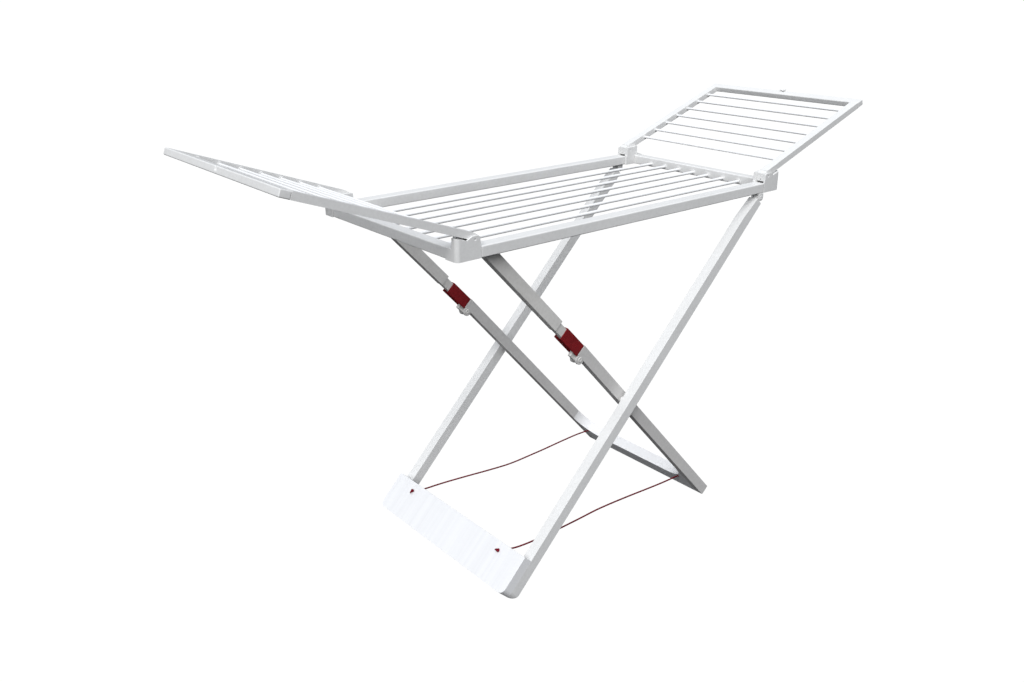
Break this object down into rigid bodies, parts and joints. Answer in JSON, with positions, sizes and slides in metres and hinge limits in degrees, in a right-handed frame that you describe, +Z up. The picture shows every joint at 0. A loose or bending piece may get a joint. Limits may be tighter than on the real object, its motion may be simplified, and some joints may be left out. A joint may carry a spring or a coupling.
{
  "type": "clothes drying rack",
  "caption": "Folding clothes drying rack: a rodded tray on crossed legs with a hinged wing at each end, locking collars and two limp cords between the feet.",
  "frame": {"origin": "on the floor, under the middle of the tray", "axes": "+X along the tray towards the outer legs' hinge, +Y to the far side, +Z up"},
  "size_m": [1.8428, 0.554, 1.1123],
  "materials": {
    "white_resin": "satin moulded resin",
    "coated_rod": "white coating, satin",
    "red_resin": "dark red moulded resin",
    "red_cord": "twisted dark red cord"
  },
  "bodies": {
    "tray": {"tray_rail_near": "white_resin", "tray_rail_far": "white_resin", "tray_end_left": "white_resin", "tray_end_right": "white_resin", "tray_rods": "coated_rod", "corner_left_near": "white_resin", "corner_left_far": "white_resin", "corner_right_near": "white_resin", "corner_right_far": "white_resin", "wing_pins_left": "white_resin", "wing_pins_right": "white_resin", "leg_ears_near": "white_resin", "leg_ears_far": "white_resin", "strut_stud_near": "white_resin", "strut_stud_far": "white_resin"},
    "wing_left": {"wing_arm_left_near": "white_resin", "wing_arm_left_far": "white_resin", "wing_bar_left": "white_resin", "wing_rods_left": "coated_rod"},
    "wing_right": {"wing_arm_right_near": "white_resin", "wing_arm_right_far": "white_resin", "wing_bar_right": "white_resin", "wing_rods_right": "coated_rod", "wing_catch": "white_resin"},
    "outer_legs": {"outer_leg_near": "white_resin", "outer_leg_far": "white_resin", "leg_pin_near": "white_resin", "leg_pin_far": "white_resin", "cross_boss_near": "white_resin", "cross_boss_far": "white_resin", "foot_board": "white_resin", "cord_knots": "red_cord", "cord_near": "red_cord", "cord_far": "red_cord"},
    "strut_near": {"strut_near": "white_resin"},
    "strut_far": {"strut_far": "white_resin"},
    "collar_near": {"lock_collar_near": "red_resin"},
    "collar_far": {"lock_collar_far": "red_resin"},
    "lower_frame": {"lower_leg_near": "white_resin", "lower_leg_far": "white_resin", "crossbar": "white_resin", "knee_pin_near": "white_resin", "knee_pin_far": "white_resin"},
    "cord_ties": {"cord_ties": "red_cord"}
  },
  "joints": [
    {"name": "outer_leg_fold", "type": "hinge", "parent": "tray", "child": "outer_legs", "pos_m": [0.46845, 0, 0.88623], "axis": [0, 1, 0], "range_deg": [0, 40], "deforming": ["cord_near", "cord_far"]},
    {"name": "strut_near_fold", "type": "hinge", "parent": "tray", "child": "strut_near", "pos_m": [-0.43624, 0, 0.901], "axis": [0, -1, 0], "range_deg": [0, 44.91]},
    {"name": "strut_far_fold", "type": "hinge", "parent": "tray", "child": "strut_far", "pos_m": [-0.43624, 0, 0.901], "axis": [0, -1, 0], "range_deg": [0, 44.91]},
    {"name": "knee_fold", "type": "hinge", "parent": "strut_near", "child": "lower_frame", "pos_m": [-0.15288, 0, 0.56986], "axis": [0, 1, 0], "range_deg": [0, 167.31]},
    {"name": "cord_tie_fold", "type": "hinge", "parent": "outer_legs", "child": "cord_ties", "pos_m": [-0.01656, 0, 0.41295], "axis": [0, 1, 0], "range_deg": [0, 82.41]},
    {"name": "wing_left_fold", "type": "hinge", "parent": "tray", "child": "wing_left", "pos_m": [-0.494, 0, 0.941], "axis": [0, 1, 0], "range_deg": [0, 160.2]},
    {"name": "wing_right_fold", "type": "hinge", "parent": "tray", "child": "wing_right", "pos_m": [0.494, 0, 0.941], "axis": [0, -1, 0], "range_deg": [0, 160.2]},
    {"name": "collar_near_slide", "type": "slide", "parent": "strut_near", "child": "collar_near", "axis": [-0.6833, 0, 0.7302], "range_m": [0, 0.027]},
    {"name": "collar_far_slide", "type": "slide", "parent": "strut_far", "child": "collar_far", "axis": [-0.6833, 0, 0.7302], "range_m": [0, 0.027]}
  ],
  "couplings": [
    {"joint": "strut_near_fold", "follows": "outer_leg_fold", "ratio": 1.1225},
    {"joint": "strut_far_fold", "follows": "outer_leg_fold", "ratio": 1.1225},
    {"joint": "knee_fold", "follows": "outer_leg_fold", "ratio": 4.1825},
    {"joint": "cord_tie_fold", "follows": "outer_leg_fold", "ratio": 2.06}
  ]
}
